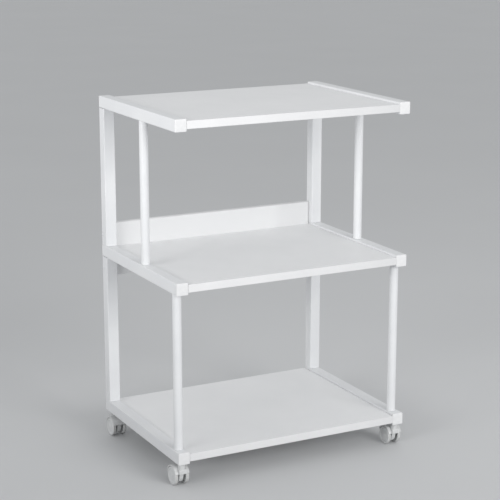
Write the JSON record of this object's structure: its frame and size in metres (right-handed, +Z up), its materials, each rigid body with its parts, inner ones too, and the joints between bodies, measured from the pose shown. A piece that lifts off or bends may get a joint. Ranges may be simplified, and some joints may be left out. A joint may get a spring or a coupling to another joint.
{
  "type": "mobile printer stand",
  "caption": "Three-tier white tube and board stand for a printer, on twin-wheel swivel casters, with an overhanging top shelf and a low rear panel.",
  "frame": {"origin": "on the floor, under the middle of the stand", "axes": "+Z up, -Y towards the front of the stand, +X towards its right side as seen from the front"},
  "size_m": [0.648, 0.46, 0.9],
  "materials": {
    "frame_paint": "satin white powder coat",
    "board_laminate": "smooth white laminate with an edge band of the same colour",
    "tube_cap_plastic": "moulded satin",
    "caster_plastic": "moulded satin light grey",
    "wheel_plastic": "moulded satin light grey",
    "zinc_steel": "bright zinc plate"
  },
  "bodies": {
    "stand_frame": {"bottom_rail_left": "frame_paint", "bottom_ledge_left": "frame_paint", "bottom_cap_front_left": "tube_cap_plastic", "bottom_cap_rear_left": "tube_cap_plastic", "bottom_rail_right": "frame_paint", "bottom_ledge_right": "frame_paint", "bottom_cap_front_right": "tube_cap_plastic", "bottom_cap_rear_right": "tube_cap_plastic", "bottom_shelf": "board_laminate", "middle_rail_left": "frame_paint", "middle_ledge_left": "frame_paint", "middle_cap_front_left": "tube_cap_plastic", "middle_cap_rear_left": "tube_cap_plastic", "middle_rail_right": "frame_paint", "middle_ledge_right": "frame_paint", "middle_cap_front_right": "tube_cap_plastic", "middle_cap_rear_right": "tube_cap_plastic", "middle_shelf": "board_laminate", "top_rail_left": "frame_paint", "top_ledge_left": "frame_paint", "top_cap_front_left": "tube_cap_plastic", "top_cap_rear_left": "tube_cap_plastic", "top_rail_right": "frame_paint", "top_ledge_right": "frame_paint", "top_cap_front_right": "tube_cap_plastic", "top_cap_rear_right": "tube_cap_plastic", "top_shelf": "board_laminate", "lower_upright_left": "frame_paint", "lower_post_left": "frame_paint", "lower_upright_right": "frame_paint", "lower_post_right": "frame_paint", "upper_upright_left": "frame_paint", "upper_post_left": "frame_paint", "upper_upright_right": "frame_paint", "upper_post_right": "frame_paint", "rear_panel": "board_laminate", "front_left_caster_stem": "zinc_steel", "front_left_stem_nut": "zinc_steel", "front_right_caster_stem": "zinc_steel", "front_right_stem_nut": "zinc_steel", "rear_left_caster_stem": "zinc_steel", "rear_left_stem_nut": "zinc_steel", "rear_right_caster_stem": "zinc_steel", "rear_right_stem_nut": "zinc_steel"},
    "front_left_caster": {"front_left_caster_housing": "caster_plastic", "front_left_caster_axle": "zinc_steel"},
    "front_left_wheel_left": {"front_left_wheel_left": "wheel_plastic"},
    "front_left_wheel_right": {"front_left_wheel_right": "wheel_plastic"},
    "front_right_caster": {"front_right_caster_housing": "caster_plastic", "front_right_caster_axle": "zinc_steel"},
    "front_right_wheel_left": {"front_right_wheel_left": "wheel_plastic"},
    "front_right_wheel_right": {"front_right_wheel_right": "wheel_plastic"},
    "rear_left_caster": {"rear_left_caster_housing": "caster_plastic", "rear_left_caster_axle": "zinc_steel"},
    "rear_left_wheel_left": {"rear_left_wheel_left": "wheel_plastic"},
    "rear_left_wheel_right": {"rear_left_wheel_right": "wheel_plastic"},
    "rear_right_caster": {"rear_right_caster_housing": "caster_plastic", "rear_right_caster_axle": "zinc_steel"},
    "rear_right_wheel_left": {"rear_right_wheel_left": "wheel_plastic"},
    "rear_right_wheel_right": {"rear_right_wheel_right": "wheel_plastic"}
  },
  "joints": [
    {"name": "front_left_swivel", "type": "hinge", "parent": "stand_frame", "child": "front_left_caster", "pos_m": [-0.305, -0.212, 0.046], "axis": [0, 0, 1], "continuous": true},
    {"name": "front_left_wheel_left_roll", "type": "hinge", "parent": "front_left_caster", "child": "front_left_wheel_left", "pos_m": [-0.305, -0.194, 0.023], "axis": [1, 0, 0], "continuous": true},
    {"name": "front_left_wheel_right_roll", "type": "hinge", "parent": "front_left_caster", "child": "front_left_wheel_right", "pos_m": [-0.305, -0.194, 0.023], "axis": [1, 0, 0], "continuous": true},
    {"name": "front_right_swivel", "type": "hinge", "parent": "stand_frame", "child": "front_right_caster", "pos_m": [0.305, -0.212, 0.046], "axis": [0, 0, 1], "continuous": true},
    {"name": "front_right_wheel_left_roll", "type": "hinge", "parent": "front_right_caster", "child": "front_right_wheel_left", "pos_m": [0.305, -0.194, 0.023], "axis": [1, 0, 0], "continuous": true},
    {"name": "front_right_wheel_right_roll", "type": "hinge", "parent": "front_right_caster", "child": "front_right_wheel_right", "pos_m": [0.305, -0.194, 0.023], "axis": [1, 0, 0], "continuous": true},
    {"name": "rear_left_swivel", "type": "hinge", "parent": "stand_frame", "child": "rear_left_caster", "pos_m": [-0.305, 0.212, 0.046], "axis": [0, 0, 1], "continuous": true},
    {"name": "rear_left_wheel_left_roll", "type": "hinge", "parent": "rear_left_caster", "child": "rear_left_wheel_left", "pos_m": [-0.305, 0.194, 0.023], "axis": [1, 0, 0], "continuous": true},
    {"name": "rear_left_wheel_right_roll", "type": "hinge", "parent": "rear_left_caster", "child": "rear_left_wheel_right", "pos_m": [-0.305, 0.194, 0.023], "axis": [1, 0, 0], "continuous": true},
    {"name": "rear_right_swivel", "type": "hinge", "parent": "stand_frame", "child": "rear_right_caster", "pos_m": [0.305, 0.212, 0.046], "axis": [0, 0, 1], "continuous": true},
    {"name": "rear_right_wheel_left_roll", "type": "hinge", "parent": "rear_right_caster", "child": "rear_right_wheel_left", "pos_m": [0.305, 0.194, 0.023], "axis": [1, 0, 0], "continuous": true},
    {"name": "rear_right_wheel_right_roll", "type": "hinge", "parent": "rear_right_caster", "child": "rear_right_wheel_right", "pos_m": [0.305, 0.194, 0.023], "axis": [1, 0, 0], "continuous": true}
  ]
}
